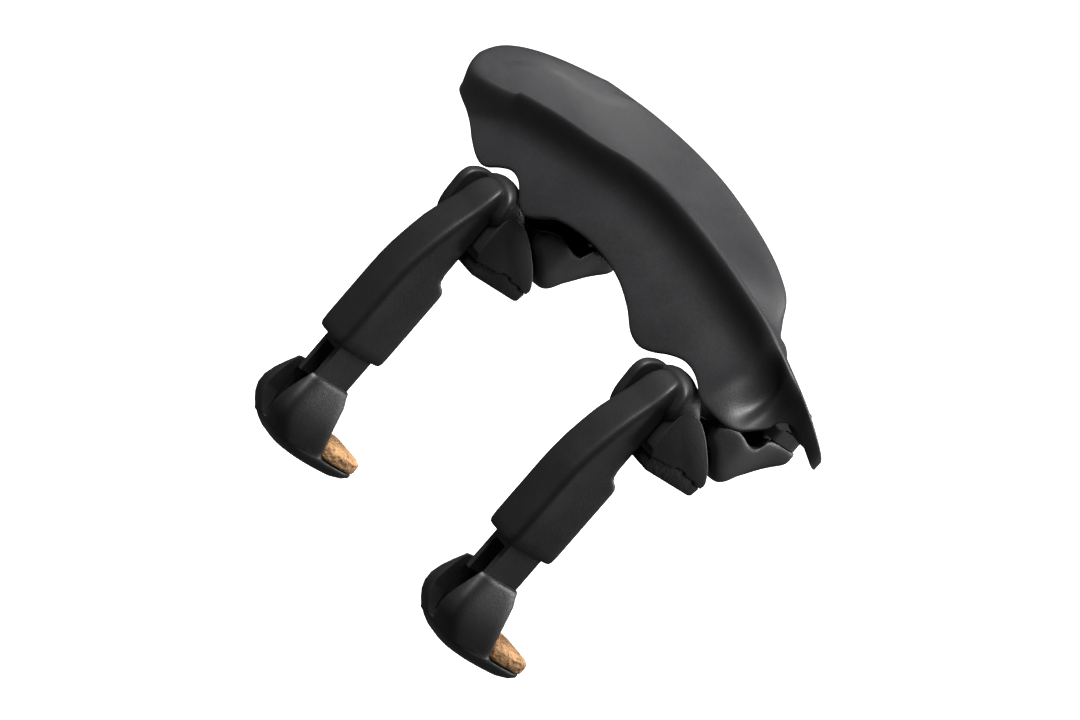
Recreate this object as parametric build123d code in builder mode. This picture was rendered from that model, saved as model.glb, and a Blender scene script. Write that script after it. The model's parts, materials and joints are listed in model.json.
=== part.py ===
"""Centre-mounted violin chin rest with two clamp legs, lift and tilt adjustment.

Frame: X runs from the left clamp to the right clamp, +Y points over the violin body,
+Z is up. The origin lies midway between the clamps, on the plane of the violin's top
edge (the faces of the upper pads), at the Y of the two spindle axes.
"""
from build123d import *
import math
import os

os.makedirs("parts", exist_ok=True)

# ---------------------------------------------------------------- driving sizes (mm)
clamp_spacing = 60.5        # between the two spindle axes
jaw_opening = 40.0          # lower cork to upper pad at rest
foot_travel = 5.0           # each way from rest
lift_travel = 4.0
tilt_limit = 8.0            # degrees

run_gap = 0.05              # radial running fit
body_gap = 0.3              # between pieces of different bodies
slide_gap = 0.15            # slider in its sleeve, each side

# sleeve (clamp leg)
sleeve_w = 6.8
sleeve_front = -6.8
sleeve_back = 5.6
sleeve_bottom = -23.7
sleeve_top = 16.6
sleeve_step_z = -6.0
seam_y = 3.0
seam_top = 11.2
sleeve_corner = 1.5
sleeve_edge = 1.0

# slider
slider_w = 5.0
slider_front = -4.6
slider_back = 4.0
slider_top = -12.6
slot_top = -25.0
slot_w = 3.0
slot_depth_y = 1.8
web_front = 2.7

# spindle and its nut
spindle_r = 1.2
spindle_top = 1.5
head_r = 2.3
head_top = -32.5
head_len = 5.2
head_socket_af = 2.0
spindle_clear_r = 1.5
nut_r = 2.2
nut_bottom = -7.0
nut_len = 5.0

# foot
foot_w = 11.0
foot_top = -30.5
foot_bottom = -44.6
foot_lip_y = 20.7
foot_inner_y = 5.0
key_slot_w = 5.2
tongue_len = 3.5
tongue_front = -1.0
foot_pin_r = 1.0
foot_pin_y = 1.6
foot_pin_len = 8.0
cork_t = 3.0
cork_front = 10.0
cork_back = 20.5
cork_w = 10.2
cork_corner = 2.0

# shoe
shoe_w = 11.0
shoe_back_y = 20.0
shoe_peak_y = 4.8
shoe_peak_z = 12.9
pad_t = 2.2
pad_front = 5.0
pad_back = 19.4
cheek_t = 2.1
cheek_front = -2.6
cheek_bottom = 4.4
sleeve_pin_r = 1.0
sleeve_pin_y = 0.4
sleeve_pin_z = 10.0

# carrier
carrier_w = 11.0
carrier_tip_y = 38.5
carrier_top = 15.6
carrier_wall = 1.8
carrier_floor = 2.2
tip_block_y = 28.0
tip_half = 4.0
tip_dx = -2.5              # tip of each carrier, from its spindle axis
shoe_screw_y = 15.5
shoe_screw_r = 1.2
shoe_screw_head_r = 2.2
shoe_screw_seat = 10.2

# bridge and lift frame
bridge_t = 2.5
bridge_front = 28.0
bridge_back = 38.5
bridge_corner = 3.0
bridge_screw_r = 0.9
bridge_screw_head_r = 1.7
bridge_screw_len = 7.0
bridge_screw_y = 30.0
bridge_screw_dx = 2.6
frame_t = 2.4
jack_y = 34.3
jack_r = 2.0
jack_head_r = 3.0
jack_head_t = 1.6
jack_nut_r = 3.2
jack_nut_len = 5.5
jack_bottom = 12.9
key_hole_r = 1.2
guide_x = 13.0
guide_r = 1.5
guide_top = 23.4

# tilt hinge and tilt screw
hinge_y = 9.2
hinge_z = 22.0
hinge_pin_r = 1.2
eye_r = 2.4
eye_w = 7.0
arm_t = 2.0
lug_t = 2.4
lug_r = 2.6
tilt_screw_r = 2.0
tilt_screw_bottom = 16.2
tilt_screw_top = 22.4
tilt_boss_r = 4.2
tilt_boss_top = 21.8
cap_r = 2.5
cap_dome_r = 3.0
cap_bottom = 22.45
cap_t = 1.9
pad_disc_r = 3.6
pad_disc_t = 0.9

# chin plate
plate_t = 2.8
apron_t = 2.4
wall_inset = 0.7
wall_t = 2.2
plate_left = -67.0
plate_right = 52.0
cup_x = -25.0
cup_y = 26.0
cup_a = 42.0
cup_b = 24.0
cup_floor = 28.0
cup_power = 2.4

# worked out from the sizes above
cork_top = -jaw_opening
cork_seat = cork_top - cork_t
bridge_top = carrier_top + bridge_t
bridge_len = clamp_spacing + 2 * tip_half
frame_bottom = bridge_top + body_gap
frame_top = frame_bottom + frame_t
jack_nut_bottom = bridge_top - jack_nut_len
tongue_top = head_top - head_len - body_gap
slider_bottom = tongue_top - tongue_len
pad_disc_bottom = cap_bottom + cap_t + body_gap
sides = {"left": -clamp_spacing / 2, "right": clamp_spacing / 2}
jack_spots = [(cx + tip_dx, jack_y) for cx in sides.values()]


def save(builder, name):
    """Label a finished piece and write its STEP file."""
    builder.part.label = name
    export_step(builder.part, f"parts/{name}.step")


def slope(table, i):
    """Slope of the table at its point i, from the points beside it."""
    before = table[max(i - 1, 0)]
    after = table[min(i + 1, len(table) - 1)]
    return (after[1] - before[1]) / (after[0] - before[0])


def smooth(table, x):
    """Value at x of a smooth curve through the table's points, flat outside its ends."""
    if x <= table[0][0]:
        return table[0][1]
    for i, ((x0, y0), (x1, y1)) in enumerate(zip(table, table[1:])):
        if x <= x1:
            width = x1 - x0
            t = (x - x0) / width
            rise = y1 - y0
            start = slope(table, i) * width
            end = slope(table, i + 1) * width
            return y0 + start * t + (3 * rise - 2 * start - end) * t**2 + (start + end - 2 * rise) * t**3
    return table[-1][1]


# ---------------------------------------------------------------- clamp leg pieces
def make_sleeve(side, cx):
    """Clamp leg: a box-section barrel with a neck that leans back over the shoe."""
    half = sleeve_w / 2
    with BuildPart() as sleeve:
        with BuildSketch(Plane.YZ.offset(cx - half)):
            with BuildLine():
                front = Line((sleeve_front, sleeve_bottom), (sleeve_front, -9.0))
                neck = Spline(
                    [(sleeve_front, -9.0), (-3.9, 5.0), (0.2, sleeve_top - 1.6)],
                    tangents=[(0, 1), (0.55, 1)],
                )
                crown = ThreePointArc(neck @ 1, (2.2, sleeve_top), (4.8, sleeve_top - 1.2))
                Polyline(
                    crown @ 1,
                    (5.2, seam_top),
                    (seam_y, seam_top),
                    (seam_y, sleeve_step_z + 1.6),
                    (sleeve_back, sleeve_step_z - 1.0),
                    (sleeve_back, sleeve_bottom),
                    front @ 0,
                )
            make_face()
        extrude(amount=sleeve_w)
        fillet(
            sleeve.edges().filter_by(Axis.X).group_by(Axis.Z)[0],
            radius=sleeve_corner,
        )
        fillet(
            sleeve.edges().filter_by(Axis.Z).group_by(Axis.Y)[0],
            radius=sleeve_edge,
        )
        # pocket that the slider runs in
        with BuildSketch(Plane.XY.offset(sleeve_bottom)):
            with Locations((cx, (slider_front + slider_back) / 2)):
                Rectangle(slider_w + 2 * slide_gap, slider_back - slider_front + 2 * slide_gap)
        extrude(amount=nut_bottom - sleeve_bottom, mode=Mode.SUBTRACT)
        # seat of the brass nut, then the clearance bore above it
        with BuildSketch(Plane.XY.offset(nut_bottom)):
            with Locations((cx, 0)):
                Circle(nut_r)
        extrude(amount=nut_len, mode=Mode.SUBTRACT)
        with BuildSketch(Plane.XY.offset(nut_bottom + nut_len)):
            with Locations((cx, 0)):
                Circle(spindle_clear_r)
        extrude(
            amount=spindle_top + foot_travel + 2 * body_gap - nut_bottom - nut_len,
            mode=Mode.SUBTRACT,
        )
        # cross hole of the pin that ties the leg to its shoe
        with BuildSketch(Plane.YZ.offset(cx - half)):
            with Locations((sleeve_pin_y, sleeve_pin_z)):
                Circle(sleeve_pin_r)
        extrude(amount=sleeve_w - 1.2, mode=Mode.SUBTRACT)
    save(sleeve, f"{side}_sleeve")


def make_sleeve_pin(side, cx):
    """Steel cross pin through the shoe's cheek and the leg's neck."""
    start = cx - sleeve_w / 2 - cheek_t + 0.2
    with BuildPart() as pin:
        with BuildSketch(Plane.YZ.offset(start)):
            with Locations((sleeve_pin_y, sleeve_pin_z)):
                Circle(sleeve_pin_r)
        extrude(amount=cheek_t - 0.2 + sleeve_w - 1.2)
    save(pin, f"{side}_sleeve_pin")


def make_spindle_nut(side, cx):
    """Brass threaded insert pressed into the leg."""
    with BuildPart() as nut:
        with BuildSketch(Plane.XY.offset(nut_bottom)):
            with Locations((cx, 0)):
                Circle(nut_r)
                Circle(spindle_r + run_gap, mode=Mode.SUBTRACT)
        extrude(amount=nut_len)
    save(nut, f"{side}_spindle_nut")


def make_spindle(side, cx):
    """Clamp spindle: a threaded rod with a socketed capstan head in the foot."""
    with BuildPart() as spindle:
        with BuildSketch(Plane.XY.offset(head_top)):
            with Locations((cx, 0)):
                Circle(spindle_r)
        extrude(amount=spindle_top - head_top)
        with BuildSketch(Plane.XY.offset(head_top - head_len)):
            with Locations((cx, 0)):
                Circle(head_r)
        extrude(amount=head_len)
        # cross holes that a pin key turns the head by
        with BuildSketch(Plane.YZ.offset(cx - head_r)):
            with Locations((0, head_top - head_len / 2)):
                Circle(head_socket_af / 2)
        extrude(amount=2 * head_r, mode=Mode.SUBTRACT)
        with BuildSketch(Plane.XZ.offset(-head_r)):
            with Locations((cx, head_top - head_len / 2)):
                Circle(head_socket_af / 2)
        extrude(amount=2 * head_r, mode=Mode.SUBTRACT)
    save(spindle, f"{side}_spindle")


def make_slider(side, cx):
    """Channel-section slider that carries the foot and runs in the leg."""
    with BuildPart() as slider:
        with BuildSketch(Plane.XY.offset(slider_bottom)):
            with Locations((cx, (slider_front + slider_back) / 2)):
                Rectangle(slider_w, slider_back - slider_front)
        extrude(amount=slider_top - slider_bottom)
        # open slot down the front, and the bore of the closed upper part
        with BuildSketch(Plane.XY.offset(head_top + body_gap)):
            with Locations((cx, (slider_front + slot_depth_y) / 2)):
                Rectangle(slot_w, slot_depth_y - slider_front)
        extrude(amount=slot_top - head_top - body_gap, mode=Mode.SUBTRACT)
        with BuildSketch(Plane.XY.offset(slot_top)):
            with Locations((cx, 0)):
                Circle(spindle_clear_r)
        extrude(amount=slider_top - slot_top, mode=Mode.SUBTRACT)
        # room for the spindle head, and the tongue below it
        with BuildSketch(Plane.XY.offset(tongue_top)):
            with Locations((cx, (slider_front + web_front) / 2)):
                Rectangle(slider_w, web_front - slider_front)
        extrude(amount=head_top + body_gap - tongue_top, mode=Mode.SUBTRACT)
        with BuildSketch(Plane.XY.offset(slider_bottom)):
            with Locations((cx, (slider_front + tongue_front) / 2)):
                Rectangle(slider_w, tongue_front - slider_front)
        extrude(amount=tongue_len, mode=Mode.SUBTRACT)
        with BuildSketch(Plane.YZ.offset(cx - slider_w / 2)):
            with Locations((foot_pin_y, slider_bottom + tongue_len / 2)):
                Circle(foot_pin_r)
        extrude(amount=slider_w, mode=Mode.SUBTRACT)
    save(slider, f"{side}_slider")


def make_foot(side, cx):
    """Hooked foot: a boat-shaped shell with a collar, a key slot and a cork seat."""
    half = foot_w / 2
    with BuildPart() as foot:
        with BuildSketch(Plane.YZ.offset(cx - half)):
            with BuildLine():
                collar = Line((-5.6, foot_top), (foot_inner_y, foot_top))
                inner = Spline(
                    [collar @ 1, (7.2, -34.5), (cork_front, cork_seat)],
                    tangents=[(0.35, -1), (0.4, -1)],
                )
                seat = Line(inner @ 1, (foot_lip_y, cork_seat))
                lip = Line(seat @ 1, (foot_lip_y, cork_seat - 0.8))
                keel = Spline(
                    [lip @ 1, (10.0, foot_bottom), (-1.5, -42.6), (-7.6, -36.5), collar @ 0],
                    tangents=[(-1, -0.12), (0.35, 1)],
                )
            make_face()
        extrude(amount=foot_w)
        # collar narrower than the flanks
        with BuildSketch(Plane.XZ.offset(-30)):
            with BuildLine():
                right = Spline(
                    [(cx + 4.1, foot_top), (cx + 4.6, -33.0), (cx + half, -37.5)],
                    tangents=[(0.1, -1), (0.1, -1)],
                )
                lower = Polyline(
                    right @ 1,
                    (cx + half, foot_bottom - 1),
                    (cx - half, foot_bottom - 1),
                    (cx - half, -37.5),
                )
                left = Spline(
                    [lower @ 1, (cx - 4.6, -33.0), (cx - 4.1, foot_top)],
                    tangents=[(0.1, 1), (0.1, 1)],
                )
                Line(left @ 1, right @ 0)
            make_face()
        extrude(amount=60, mode=Mode.INTERSECT)
        # pocket of the slider
        with BuildSketch(Plane.XY.offset(slider_bottom)):
            with Locations((cx, (slider_front + slider_back) / 2)):
                Rectangle(slider_w, slider_back - slider_front)
        extrude(amount=foot_top - slider_bottom, mode=Mode.SUBTRACT)
        # key slot down the front face
        with BuildSketch(Plane.XZ.offset(-tongue_front)):
            with BuildLine():
                Polyline(
                    (cx - key_slot_w / 2, foot_top),
                    (cx - key_slot_w / 2, -36.5),
                    (cx - 1.2, slider_bottom - 0.4),
                    (cx + 1.2, slider_bottom - 0.4),
                    (cx + key_slot_w / 2, -36.5),
                    (cx + key_slot_w / 2, foot_top),
                    close=True,
                )
            make_face()
        extrude(amount=20, mode=Mode.SUBTRACT)
        with BuildSketch(Plane.YZ.offset(cx - foot_pin_len / 2)):
            with Locations((foot_pin_y, slider_bottom + tongue_len / 2)):
                Circle(foot_pin_r)
        extrude(amount=foot_pin_len, mode=Mode.SUBTRACT)
    save(foot, f"{side}_foot")


def make_foot_pin(side, cx):
    """Steel pin that holds the foot on the slider's tongue."""
    with BuildPart() as pin:
        with BuildSketch(Plane.YZ.offset(cx - foot_pin_len / 2)):
            with Locations((foot_pin_y, slider_bottom + tongue_len / 2)):
                Circle(foot_pin_r)
        extrude(amount=foot_pin_len)
    save(pin, f"{side}_foot_pin")


def make_cork(side, cx):
    """Cork block on the foot's hook, against the violin's back edge."""
    with BuildPart() as cork:
        with BuildSketch(Plane.XY.offset(cork_seat)):
            with Locations((cx, (cork_front + cork_back) / 2)):
                RectangleRounded(cork_w, cork_back - cork_front, cork_corner)
        extrude(amount=cork_t)
        chamfer(cork.faces().sort_by(Axis.Z)[-1].edges(), length=0.4)
    save(cork, f"{side}_cork")


def make_shoe(side, cx):
    """Upper shoe: the rounded block that stands on the violin's top edge."""
    half = shoe_w / 2
    slope = [(11.5, 10.5), (16.0, 7.5)]
    with BuildPart() as shoe:
        with BuildSketch(Plane.YZ.offset(cx - half)):
            with BuildLine():
                Polyline(
                    (seam_y, pad_t + 0.8),
                    (seam_y, seam_top),
                    (shoe_peak_y, shoe_peak_z),
                    slope[0],
                    slope[1],
                    (shoe_back_y, 3.4),
                    (shoe_back_y - 0.6, pad_t),
                    (pad_front, pad_t),
                    close=True,
                )
            make_face()
        extrude(amount=shoe_w)
        # notch that clears the overhanging end of the neck
        with BuildSketch(Plane.XY.offset(seam_top)):
            with Locations((cx, seam_y + 1.2)):
                Rectangle(sleeve_w + 0.2, 2.6)
        extrude(amount=5, mode=Mode.SUBTRACT)
        # far cheek beside the neck
        with BuildSketch(Plane.YZ.offset(cx - sleeve_w / 2 - cheek_t)):
            with BuildLine():
                Polyline(
                    (seam_y, cheek_bottom),
                    (cheek_front + 1.5, cheek_bottom),
                    (cheek_front, cheek_bottom + 1.5),
                    (cheek_front + 0.6, 10.5),
                    (cheek_front + 2.6, seam_top + 1.2),
                    (seam_y, seam_top + 0.9),
                    close=True,
                )
            make_face()
        extrude(amount=cheek_t)
        with BuildSketch(Plane.YZ.offset(cx - sleeve_w / 2 - cheek_t)):
            with Locations((sleeve_pin_y, sleeve_pin_z)):
                Circle(sleeve_pin_r)
        extrude(amount=cheek_t, mode=Mode.SUBTRACT)
        # thread of the carrier's screw
        with BuildSketch(Plane.XY.offset(pad_t + 0.8)):
            with Locations((cx, shoe_screw_y)):
                Circle(shoe_screw_r)
        extrude(amount=20, mode=Mode.SUBTRACT)
    save(shoe, f"{side}_shoe")


def make_shoe_pad(side, cx):
    """Rubber-cork pad under the shoe."""
    with BuildPart() as pad:
        with BuildSketch(Plane.XY):
            with Locations((cx, (pad_front + pad_back) / 2)):
                RectangleRounded(shoe_w - 0.4, pad_back - pad_front, 1.6)
        extrude(amount=pad_t)
    save(pad, f"{side}_shoe_pad")


def make_carrier(side, cx):
    """Trough-shaped bracket arm that rises from the shoe to the bridge."""
    half = carrier_w / 2
    tip_x = cx + tip_dx
    with BuildPart() as trough:
        with BuildSketch(Plane.YZ.offset(cx - half)):
            with BuildLine():
                Polyline(
                    (13.0, carrier_top + 1),
                    (13.0, 9.5 + carrier_floor),
                    (16.0, 7.5 + carrier_floor),
                    (20.5, 3.4 + carrier_floor),
                    (24.0, 3.2 + carrier_floor),
                    (tip_block_y, 4.6 + carrier_floor),
                    (tip_block_y, carrier_top + 1),
                    close=True,
                )
            make_face()
        extrude(amount=carrier_w)
        with BuildSketch(Plane.XY):
            with BuildLine():
                Polyline(
                    (cx - half + carrier_wall, 8.0),
                    (cx - half + carrier_wall, tip_block_y + 1),
                    (tip_x + tip_half - carrier_wall, tip_block_y + 1),
                    (cx + half - carrier_wall, 20.0),
                    (cx + half - carrier_wall, 8.0),
                    close=True,
                )
            make_face()
        extrude(amount=30, mode=Mode.INTERSECT)
    with BuildPart() as carrier:
        with BuildSketch(Plane.YZ.offset(tip_x - tip_half)):
            with BuildLine():
                Polyline(
                    (11.5, 10.5),
                    (16.0, 7.5),
                    (shoe_back_y, 3.4),
                    (24.0, 3.2),
                    (28.0, 4.6),
                    (32.5, 8.4),
                    (36.5, 11.4),
                    (carrier_tip_y, 12.2),
                    (carrier_tip_y, carrier_top),
                    (20.0, carrier_top),
                    (13.0, 13.2),
                    close=True,
                )
            make_face()
        extrude(amount=cx + half - tip_x + tip_half)
        # plan outline: full width over the shoe, narrower at the tip
        with BuildSketch(Plane.XY):
            with BuildLine():
                Polyline(
                    (cx - half, 8.0),
                    (cx - half, 22.0),
                    (tip_x - tip_half, 29.0),
                    (tip_x - tip_half, carrier_tip_y),
                    (tip_x + tip_half, carrier_tip_y),
                    (tip_x + tip_half, 31.0),
                    (cx + half, 22.0),
                    (cx + half, 8.0),
                    close=True,
                )
            make_face()
        extrude(amount=30, mode=Mode.INTERSECT)
        add(trough.part, mode=Mode.SUBTRACT)
        # the wall on the +X side dips between its ends
        with BuildSketch(Plane.YZ.offset(cx + half - carrier_wall - 1.5)):
            with BuildLine():
                dip = ThreePointArc((18.0, carrier_top + 0.5), (23.5, 12.9), (28.0, carrier_top + 0.5))
                Line(dip @ 1, dip @ 0)
            make_face()
        extrude(amount=carrier_wall + 3, mode=Mode.SUBTRACT)
        # screw hole down into the shoe, and its spot face
        with BuildSketch(Plane.XY.offset(4.0)):
            with Locations((cx, shoe_screw_y)):
                Circle(shoe_screw_r)
        extrude(amount=12, mode=Mode.SUBTRACT)
        with BuildSketch(Plane.XY.offset(shoe_screw_seat)):
            with Locations((cx, shoe_screw_y)):
                Circle(shoe_screw_head_r + 0.2)
        extrude(amount=8, mode=Mode.SUBTRACT)
        # pocket of the lift nut, and the key hole under it
        with BuildSketch(Plane.XY.offset(jack_nut_bottom)):
            with Locations((tip_x, jack_y)):
                Circle(jack_nut_r)
        extrude(amount=jack_nut_len, mode=Mode.SUBTRACT)
        with BuildSketch(Plane.XY.offset(6.0)):
            with Locations((tip_x, jack_y)):
                Circle(key_hole_r)
        extrude(amount=8, mode=Mode.SUBTRACT)
        with BuildSketch(Plane.XY.offset(bridge_top - bridge_screw_len)):
            with Locations(
                (tip_x - bridge_screw_dx, bridge_screw_y),
                (tip_x + bridge_screw_dx, bridge_screw_y),
            ):
                Circle(bridge_screw_r)
        extrude(amount=bridge_screw_len, mode=Mode.SUBTRACT)
    save(carrier, f"{side}_carrier")


def make_shoe_screw(side, cx):
    """Pan-head screw that ties the carrier down to the shoe."""
    head_z = shoe_screw_seat
    with BuildPart() as screw:
        with BuildSketch(Plane.XY.offset(pad_t + 1.2)):
            with Locations((cx, shoe_screw_y)):
                Circle(shoe_screw_r)
        extrude(amount=head_z - pad_t - 1.2)
        with BuildSketch(Plane.XY.offset(head_z)):
            with Locations((cx, shoe_screw_y)):
                Circle(shoe_screw_head_r)
        extrude(amount=1.5)
        with BuildSketch(Plane.XY.offset(head_z + 0.6)):
            with Locations((cx, shoe_screw_y)):
                RegularPolygon(0.9, 6)
        extrude(amount=1.5, mode=Mode.SUBTRACT)
    save(screw, f"{side}_shoe_screw")


def make_lift_nut(side, cx):
    """Brass nut of the jack screw, seated in the carrier and the bridge."""
    with BuildPart() as nut:
        with BuildSketch(Plane.XY.offset(jack_nut_bottom)):
            with Locations((cx + tip_dx, jack_y)):
                Circle(jack_nut_r)
                Circle(jack_r + run_gap, mode=Mode.SUBTRACT)
        extrude(amount=jack_nut_len)
    save(nut, f"{side}_lift_nut")


def make_jack_screw(side, cx):
    """Jack screw: turns in the lift frame and climbs in the lift nut."""
    with BuildPart() as screw:
        with BuildSketch(Plane.XY.offset(jack_bottom)):
            with Locations((cx + tip_dx, jack_y)):
                Circle(jack_r)
        extrude(amount=frame_top + run_gap - jack_bottom)
        with BuildSketch(Plane.XY.offset(frame_top + run_gap)):
            with Locations((cx + tip_dx, jack_y)):
                Circle(jack_head_r)
        extrude(amount=jack_head_t)
        with BuildSketch(Plane.XY.offset(jack_bottom)):
            with Locations((cx + tip_dx, jack_y)):
                RegularPolygon(1.1, 6)
        extrude(amount=2.5, mode=Mode.SUBTRACT)
    save(screw, f"{side}_jack_screw")


def make_hinge_pin(side, cx):
    """Tilt hinge pin, fixed in the plate's lugs and turning in the frame's eye."""
    reach = eye_w / 2 + body_gap + lug_t
    with BuildPart() as pin:
        with BuildSketch(Plane.YZ.offset(cx - reach)):
            with Locations((hinge_y, hinge_z)):
                Circle(hinge_pin_r)
        extrude(amount=2 * reach)
    save(pin, f"{side}_hinge_pin")


for side, cx in sides.items():
    make_sleeve(side, cx)
    make_sleeve_pin(side, cx)
    make_spindle_nut(side, cx)
    make_spindle(side, cx)
    make_slider(side, cx)
    make_foot(side, cx)
    make_foot_pin(side, cx)
    make_cork(side, cx)
    make_shoe(side, cx)
    make_shoe_pad(side, cx)
    make_carrier(side, cx)
    make_shoe_screw(side, cx)
    make_lift_nut(side, cx)
    make_jack_screw(side, cx)
    make_hinge_pin(side, cx)

# ---------------------------------------------------------------- bridge
with BuildPart() as bridge:
    with BuildSketch(Plane.XY.offset(carrier_top)):
        with Locations((tip_dx, (bridge_front + bridge_back) / 2)):
            RectangleRounded(bridge_len, bridge_back - bridge_front, bridge_corner)
        with Locations(*jack_spots):
            Circle(jack_nut_r, mode=Mode.SUBTRACT)
        with Locations((-guide_x, jack_y), (guide_x, jack_y)):
            Circle(guide_r, mode=Mode.SUBTRACT)
        with Locations((0, jack_y)):
            Circle(tilt_screw_r + 2 * body_gap, mode=Mode.SUBTRACT)
    extrude(amount=bridge_t)
    screw_spots = [
        (x + dx, bridge_screw_y) for x, y in jack_spots for dx in (-bridge_screw_dx, bridge_screw_dx)
    ]
    with Locations(*[(x, y, bridge_top) for x, y in screw_spots]):
        CounterSinkHole(bridge_screw_r, bridge_screw_head_r, depth=bridge_t + 0.1, counter_sink_angle=90)
save(bridge, "base_bridge")

with BuildPart() as bridge_screws:
    with BuildSketch(Plane.XY.offset(bridge_top - bridge_screw_len)):
        with Locations(*screw_spots):
            Circle(bridge_screw_r)
    extrude(amount=bridge_screw_len - (bridge_screw_head_r - bridge_screw_r))
    with BuildSketch(Plane.XY.offset(bridge_top)):
        with Locations(*screw_spots):
            Circle(bridge_screw_head_r)
    extrude(amount=-(bridge_screw_head_r - bridge_screw_r), taper=45)
save(bridge_screws, "bridge_screws")

with BuildPart() as guide_posts:
    with BuildSketch(Plane.XY.offset(carrier_top)):
        with Locations((-guide_x, jack_y), (guide_x, jack_y)):
            Circle(guide_r)
    extrude(amount=guide_top - carrier_top)
save(guide_posts, "guide_posts")

# ---------------------------------------------------------------- lift frame
with BuildPart() as lift_frame:
    with BuildSketch(Plane.XY.offset(frame_bottom)):
        with Locations((tip_dx, (bridge_front + bridge_back) / 2)):
            RectangleRounded(bridge_len, bridge_back - bridge_front, bridge_corner)
    extrude(amount=frame_t)
    with BuildSketch(Plane.XY.offset(frame_bottom)):
        with Locations((0, jack_y)):
            Circle(tilt_boss_r)
    extrude(amount=tilt_boss_top - frame_bottom)
    for cx in sides.values():
        with BuildSketch(Plane.YZ.offset(cx - eye_w / 2)):
            with BuildLine():
                Polyline(
                    (hinge_y, hinge_z - eye_r),
                    (hinge_y, hinge_z - eye_r + arm_t),
                    (bridge_front + 1, frame_top),
                    (bridge_front + 1, frame_bottom),
                    (bridge_front - 4, frame_bottom),
                    close=True,
                )
            make_face()
            with Locations((hinge_y, hinge_z)):
                Circle(eye_r)
                Circle(hinge_pin_r + run_gap, mode=Mode.SUBTRACT)
        extrude(amount=eye_w)
    with BuildSketch(Plane.XY.offset(frame_bottom - 1)):
        with Locations(*jack_spots):
            Circle(jack_r + run_gap)
        with Locations((-guide_x, jack_y), (guide_x, jack_y)):
            Circle(guide_r + run_gap)
        with Locations((0, jack_y)):
            Circle(tilt_screw_r + run_gap)
    extrude(amount=8, mode=Mode.SUBTRACT)
save(lift_frame, "lift_frame")

# ---------------------------------------------------------------- tilt screw and cap
with BuildPart() as tilt_screw:
    with BuildSketch(Plane.XY.offset(tilt_screw_bottom)):
        with Locations((0, jack_y)):
            Circle(tilt_screw_r)
    extrude(amount=tilt_screw_top - tilt_screw_bottom)
    with BuildSketch(Plane.XY.offset(tilt_screw_bottom)):
        with Locations((0, jack_y)):
            RegularPolygon(1.1, 6)
    extrude(amount=2.5, mode=Mode.SUBTRACT)
save(tilt_screw, "tilt_screw")

with BuildPart() as tilt_cap:
    with BuildSketch(Plane.XZ.offset(-jack_y)):
        with BuildLine():
            top_z = cap_bottom + cap_t
            edge_z = top_z - cap_dome_r + math.sqrt(cap_dome_r**2 - cap_r**2)
            mid_r = cap_dome_r * math.sin(0.45)
            mid_z = top_z - cap_dome_r + cap_dome_r * math.cos(0.45)
            dome = ThreePointArc((0, top_z), (mid_r, mid_z), (cap_r, edge_z))
            Polyline(dome @ 1, (cap_r, cap_bottom), (0, cap_bottom), (0, top_z))
        make_face()
    revolve(axis=Axis((0, jack_y, 0), (0, 0, 1)))
save(tilt_cap, "tilt_cap")

with BuildPart() as thrust_disc:
    with BuildSketch(Plane.XY.offset(pad_disc_bottom)):
        with Locations((0, jack_y)):
            Circle(pad_disc_r)
    extrude(amount=pad_disc_t)
save(thrust_disc, "thrust_disc")

# ---------------------------------------------------------------- chin plate
# heights of the near ridge along X, and of the cup's rim round its ellipse (degrees)
crest = [(-76, 23.5), (-60, 25.6), (-49, 27.6), (-34, 32.2), (-18, 35.7), (-6, 36.6), (5, 36.7),
         (16, 36.0), (27, 34.8), (38, 33.2), (46, 31), (58, 27)]
rim = [(-180, 29.5), (-150, 27.8), (-120, 29.3), (-90, 34.0), (-60, 36.3), (-35, 34.5), (0, 30.0),
       (42, 27.8), (60, 32.0), (90, 35), (120, 35), (150, 32.4), (180, 29.5)]
near_edge = [(-76, 20), (-66, 12.5), (-60, 9), (-53, 6.2), (-46, 4.4), (-39, 3.1), (-30, 2.4), (58, 2.4)]
wing_fall = [(-76, 0.2), (18, 0.2), (30, 0.3), (42, 0.4), (58, 0.5)]
wing_curl = 0.006
apron_dent = [(-8, 0.0), (-2, 0.3), (2, 0.7), (7, 1.5), (13, 0.6), (22, -0.9), (30, -1.2)]


def cup_reach(x, y):
    """Distance from the cup's centre, as a share of its ellipse."""
    return math.hypot((x - cup_x) / cup_a, (y - cup_y) / cup_b)


def cup_height(x, y):
    """Height of the cup's surface; past its rim it levels off."""
    angle = math.degrees(math.atan2((y - cup_y) / cup_b, (x - cup_x) / cup_a))
    reach = cup_reach(x, y)
    rise = reach**cup_power if reach < 1 else 1 + 0.4 * math.tanh(reach - 1)
    return cup_floor + (smooth(rim, angle) - cup_floor) * rise


def wing_height(x, y):
    """Height of the wing right of the cup, which falls away from the ridge."""
    drop = y - 5.0
    soft_drop = (drop + math.hypot(drop, 2.0)) / 2
    return smooth(crest, x) - (smooth(wing_fall, x) + wing_curl * soft_drop) * soft_drop


def ease(share):
    """Smooth step from 0 to 1."""
    share = min(max(share, 0.0), 1.0)
    return share * share * (3 - 2 * share)


def deck_height(x, y):
    """Top surface of the plate: the cup, blended into the wing."""
    share = ease((cup_reach(x, y) - 0.85) / 0.45) * ease((x - cup_x) / 25.0)
    return (1 - share) * cup_height(x, y) + share * wing_height(x, y)


def apron_y(x, z):
    """Outer face of the apron: a shallow groove under the ridge, flared below."""
    return smooth(near_edge, x) + smooth(apron_dent, smooth(crest, x) - z)


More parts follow.
